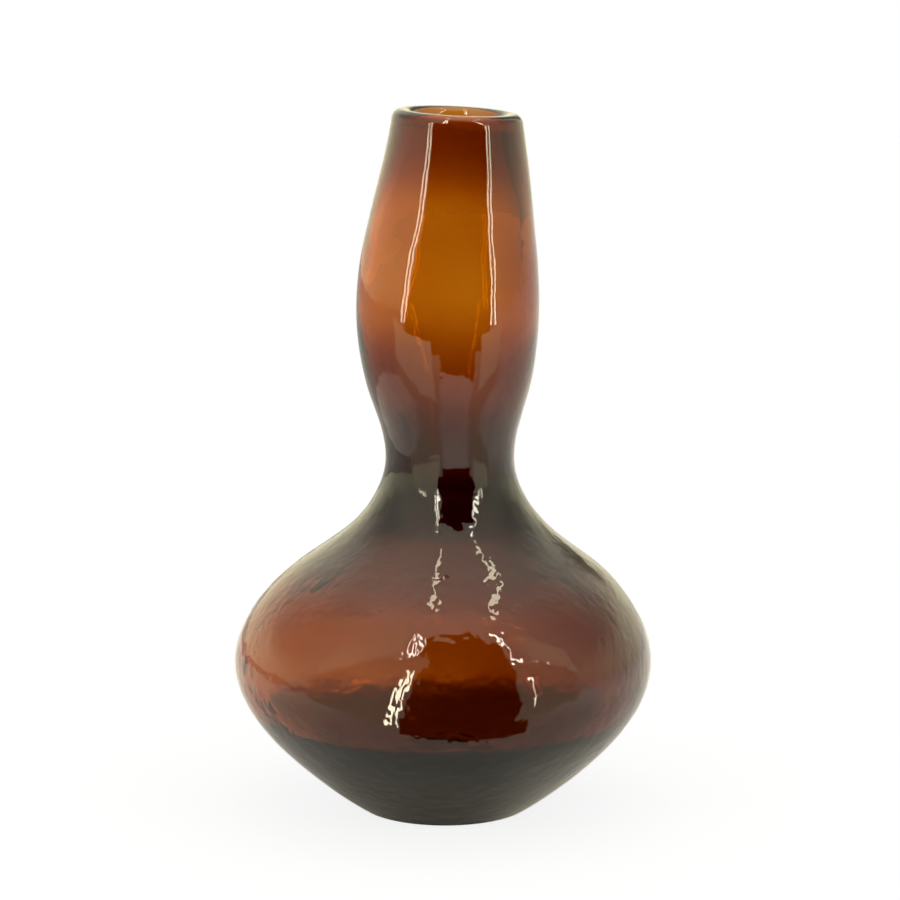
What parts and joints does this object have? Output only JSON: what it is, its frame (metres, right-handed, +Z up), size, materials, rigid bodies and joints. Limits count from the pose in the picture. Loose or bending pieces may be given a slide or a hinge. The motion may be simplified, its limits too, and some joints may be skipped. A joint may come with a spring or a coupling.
{
  "type": "gourd vase",
  "caption": "Double-gourd vase of heavy brown and amber cased glass: wide belly on a small ground foot, pinched waist, slim leaning upper bulb and a rounded open mouth for stems.",
  "frame": {"origin": "middle of the belly, dropped to the plane that the ground foot stands on", "axes": "+Z up through the mouth, +X towards the side that the neck leans to, -Y the pictured front"},
  "size_m": [0.1822, 0.1824, 0.3062],
  "materials": {
    "casing": "brown transparent blown glass, fire-polished, with faint ripples",
    "lining": "amber transparent blown glass, smooth"
  },
  "bodies": {
    "root": {"outer_casing": "casing", "inner_lining": "lining"}
  },
  "joints": []
}
